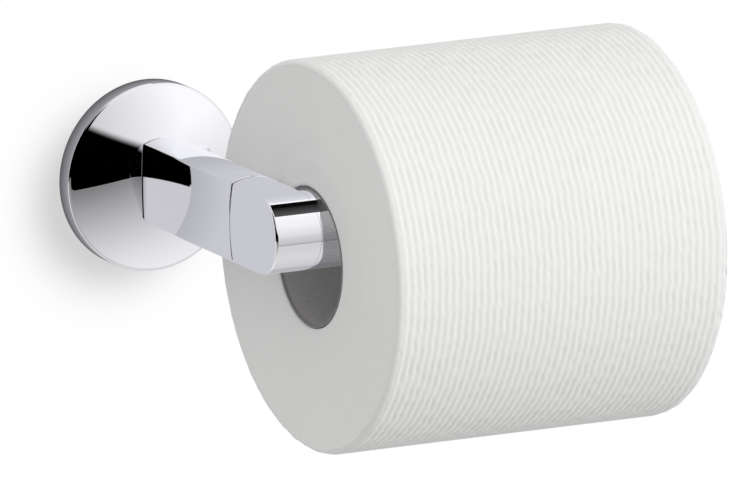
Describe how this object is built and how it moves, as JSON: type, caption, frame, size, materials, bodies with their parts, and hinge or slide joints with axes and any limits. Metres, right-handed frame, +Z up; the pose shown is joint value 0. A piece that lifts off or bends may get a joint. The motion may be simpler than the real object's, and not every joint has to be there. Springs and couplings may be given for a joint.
{
  "type": "toilet paper holder",
  "caption": "Wall-mounted single-post toilet paper holder with a round flange, a swing-up arm with a round bar, and a paper roll.",
  "frame": {"origin": "centre of the wall bracket's back face, on the axis of the arm's swing joint", "axes": "+Y into the wall, +X along the bar towards its free end, +Z up"},
  "size_m": [0.1581, 0.1769, 0.1174],
  "materials": {
    "chrome_flange": "polished",
    "chrome_post": "polished",
    "chrome_bar": "polished",
    "zinc": "as cast, zinc plated",
    "screw_steel": "zinc plated",
    "spring_steel": "oiled",
    "acetal": "moulded",
    "nylon": "moulded",
    "rubber": "moulded",
    "cardboard": "spiral wound",
    "tissue": "soft embossed tissue paper"
  },
  "bodies": {
    "wall_mount": {"wall_bracket": "zinc", "wall_screw_left": "screw_steel", "wall_screw_right": "screw_steel", "wall_anchor_left": "nylon", "wall_anchor_right": "nylon", "flange": "chrome_flange", "flange_grub_screw": "screw_steel", "pivot_bush": "acetal", "stop_pin": "spring_steel"},
    "arm": {"neck": "chrome_post", "stop_washer": "spring_steel", "disc_spring": "spring_steel", "tie_bolt": "screw_steel", "locating_pin_upper": "spring_steel", "locating_pin_lower": "spring_steel", "arm_head": "chrome_post", "arm_bar": "chrome_bar", "end_cap": "chrome_bar", "end_cap_ring": "rubber"},
    "roll_core": {"roll_core": "cardboard"},
    "paper_roll": {"paper_roll": "tissue"}
  },
  "joints": [
    {"name": "arm_pivot", "type": "hinge", "parent": "wall_mount", "child": "arm", "pos_m": [0, -0.009, 0], "axis": [0, -1, 0], "range_deg": [0, 90]},
    {"name": "roll_slide", "type": "slide", "parent": "arm", "child": "roll_core", "axis": [1, 0, 0], "range_m": [0, 0.125]},
    {"name": "roll_spin", "type": "hinge", "parent": "roll_core", "child": "paper_roll", "pos_m": [0.0637, -0.0882, -0.00845], "axis": [1, 0, 0], "continuous": true}
  ]
}
